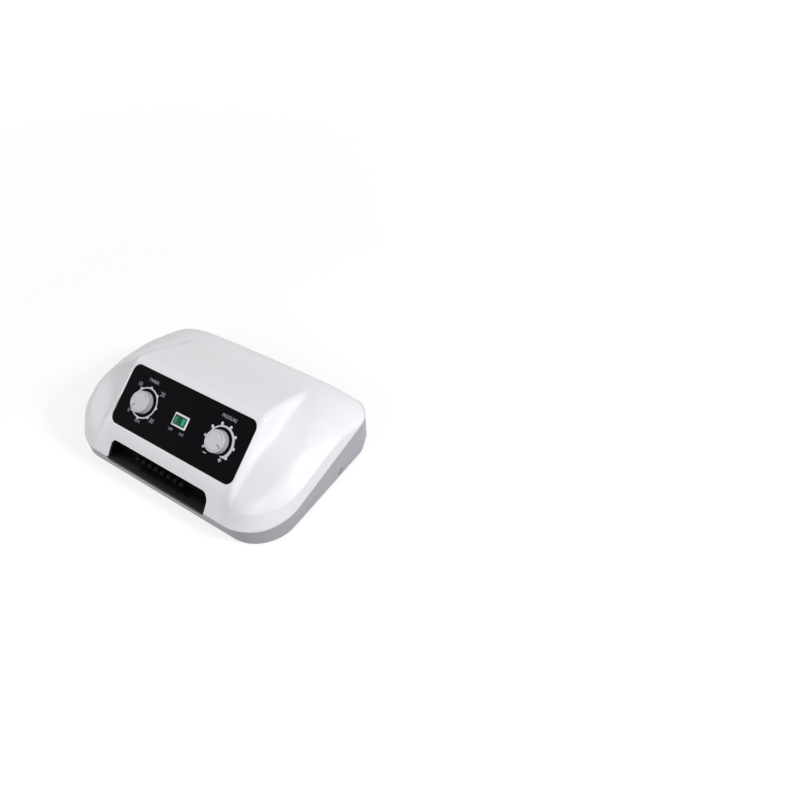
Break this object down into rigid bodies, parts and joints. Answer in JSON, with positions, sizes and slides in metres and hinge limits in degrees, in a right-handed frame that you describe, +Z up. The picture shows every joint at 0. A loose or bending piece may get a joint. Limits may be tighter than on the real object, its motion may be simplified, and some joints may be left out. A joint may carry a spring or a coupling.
{
  "type": "compression therapy pump",
  "caption": "Table-top air compression console: sloping black control face with timer knob, lit rocker and pressure knob, hose outlets in a front recess.",
  "frame": {"origin": "centre of the footprint, on the surface the rubber feet stand on", "axes": "+X to the right as the user faces the controls, +Y to the back, +Z up"},
  "size_m": [0.318, 0.201, 0.1023],
  "materials": {
    "white_abs": "glossy moulded ABS",
    "grey_abs": "satin moulded ABS",
    "label": "glossy film over a plastic plate",
    "black_plastic": "fine grain",
    "knob": "satin silver-grey",
    "steel": "zinc plated",
    "rubber": "matt",
    "rocker": "translucent green",
    "brass": "turned",
    "spring": "drawn wire",
    "aluminium": "cast and machined",
    "magnet": "nickel plated",
    "copper": "enamelled winding",
    "valve": "moulded",
    "tube": "silicone",
    "board": "solder mask",
    "board_parts": "moulded"
  },
  "bodies": {
    "console": {"base_tray": "grey_abs", "bleed_tube": "tube", "board_parts": "board_parts", "board_screws": "steel", "case_screw_1": "steel", "case_screw_2": "steel", "case_screw_3": "steel", "case_screw_4": "steel", "circuit_board": "board", "control_label": "label", "distributor_body": "valve", "distributor_lid": "valve", "distributor_motor": "aluminium", "distributor_posts": "valve", "fuse_cap": "black_plastic", "fuse_holder": "black_plastic", "inlet_pins": "brass", "mains_inlet": "black_plastic", "outlet_manifold": "black_plastic", "outlet_tubes": "tube", "panel_nut_1": "steel", "panel_nut_2": "steel", "pressure_tube": "tube", "pump_bolts": "steel", "pump_coil_1": "copper", "pump_coil_2": "copper", "pump_core_1": "steel", "pump_core_2": "steel", "pump_diaphragm_1": "rubber", "pump_diaphragm_2": "rubber", "pump_frame": "aluminium", "pump_head_left": "aluminium", "pump_head_right": "aluminium", "pump_mount_1": "rubber", "pump_mount_2": "rubber", "pump_mount_3": "rubber", "pump_mount_4": "rubber", "recess_liner": "black_plastic", "regulator_body": "brass", "regulator_spring": "spring", "rubber_foot_1": "rubber", "rubber_foot_2": "rubber", "rubber_foot_3": "rubber", "rubber_foot_4": "rubber", "switch_housing": "black_plastic", "timer_body": "black_plastic", "top_shell": "white_abs"},
    "timer_dial": {"timer_knob": "knob", "timer_shaft": "steel"},
    "pressure_dial": {"pressure_knob": "knob", "pressure_spindle": "brass"},
    "power_rocker": {"switch_rocker": "rocker"},
    "bleed_piston": {"regulator_plunger": "brass"},
    "armature": {"pump_armature": "aluminium", "pump_magnets": "magnet"},
    "valve_rotor": {"distributor_rotor": "valve"}
  },
  "joints": [
    {"name": "timer_turn", "type": "hinge", "parent": "console", "child": "timer_dial", "pos_m": [-0.0582, -0.04521, 0.07394], "axis": [0, 0.6174, -0.7866], "range_deg": [-45, 270]},
    {"name": "pressure_turn", "type": "hinge", "parent": "console", "child": "pressure_dial", "pos_m": [0.0582, -0.04521, 0.07394], "axis": [0, 0.6174, -0.7866], "range_deg": [-236, 16]},
    {"name": "bleed_slide", "type": "slide", "parent": "console", "child": "bleed_piston", "axis": [0, 0.6174, -0.7866], "range_m": [-0.00262, 0.00018]},
    {"name": "power_rock", "type": "hinge", "parent": "console", "child": "power_rocker", "pos_m": [-0.0003, -0.04366, 0.07262], "axis": [0, 0.7866, 0.6174], "range_deg": [-18, 0]},
    {"name": "armature_slide", "type": "slide", "parent": "console", "child": "armature", "axis": [1, 0, 0], "range_m": [-0.0015, 0.0015], "stiffness_N_per_m": 1500},
    {"name": "rotor_turn", "type": "hinge", "parent": "console", "child": "valve_rotor", "pos_m": [-0.096, 0.033, 0.047], "axis": [0, 0, 1], "continuous": true}
  ],
  "couplings": [
    {"joint": "pressure_turn", "follows": "bleed_slide", "rad_per_m": 1570.8}
  ]
}
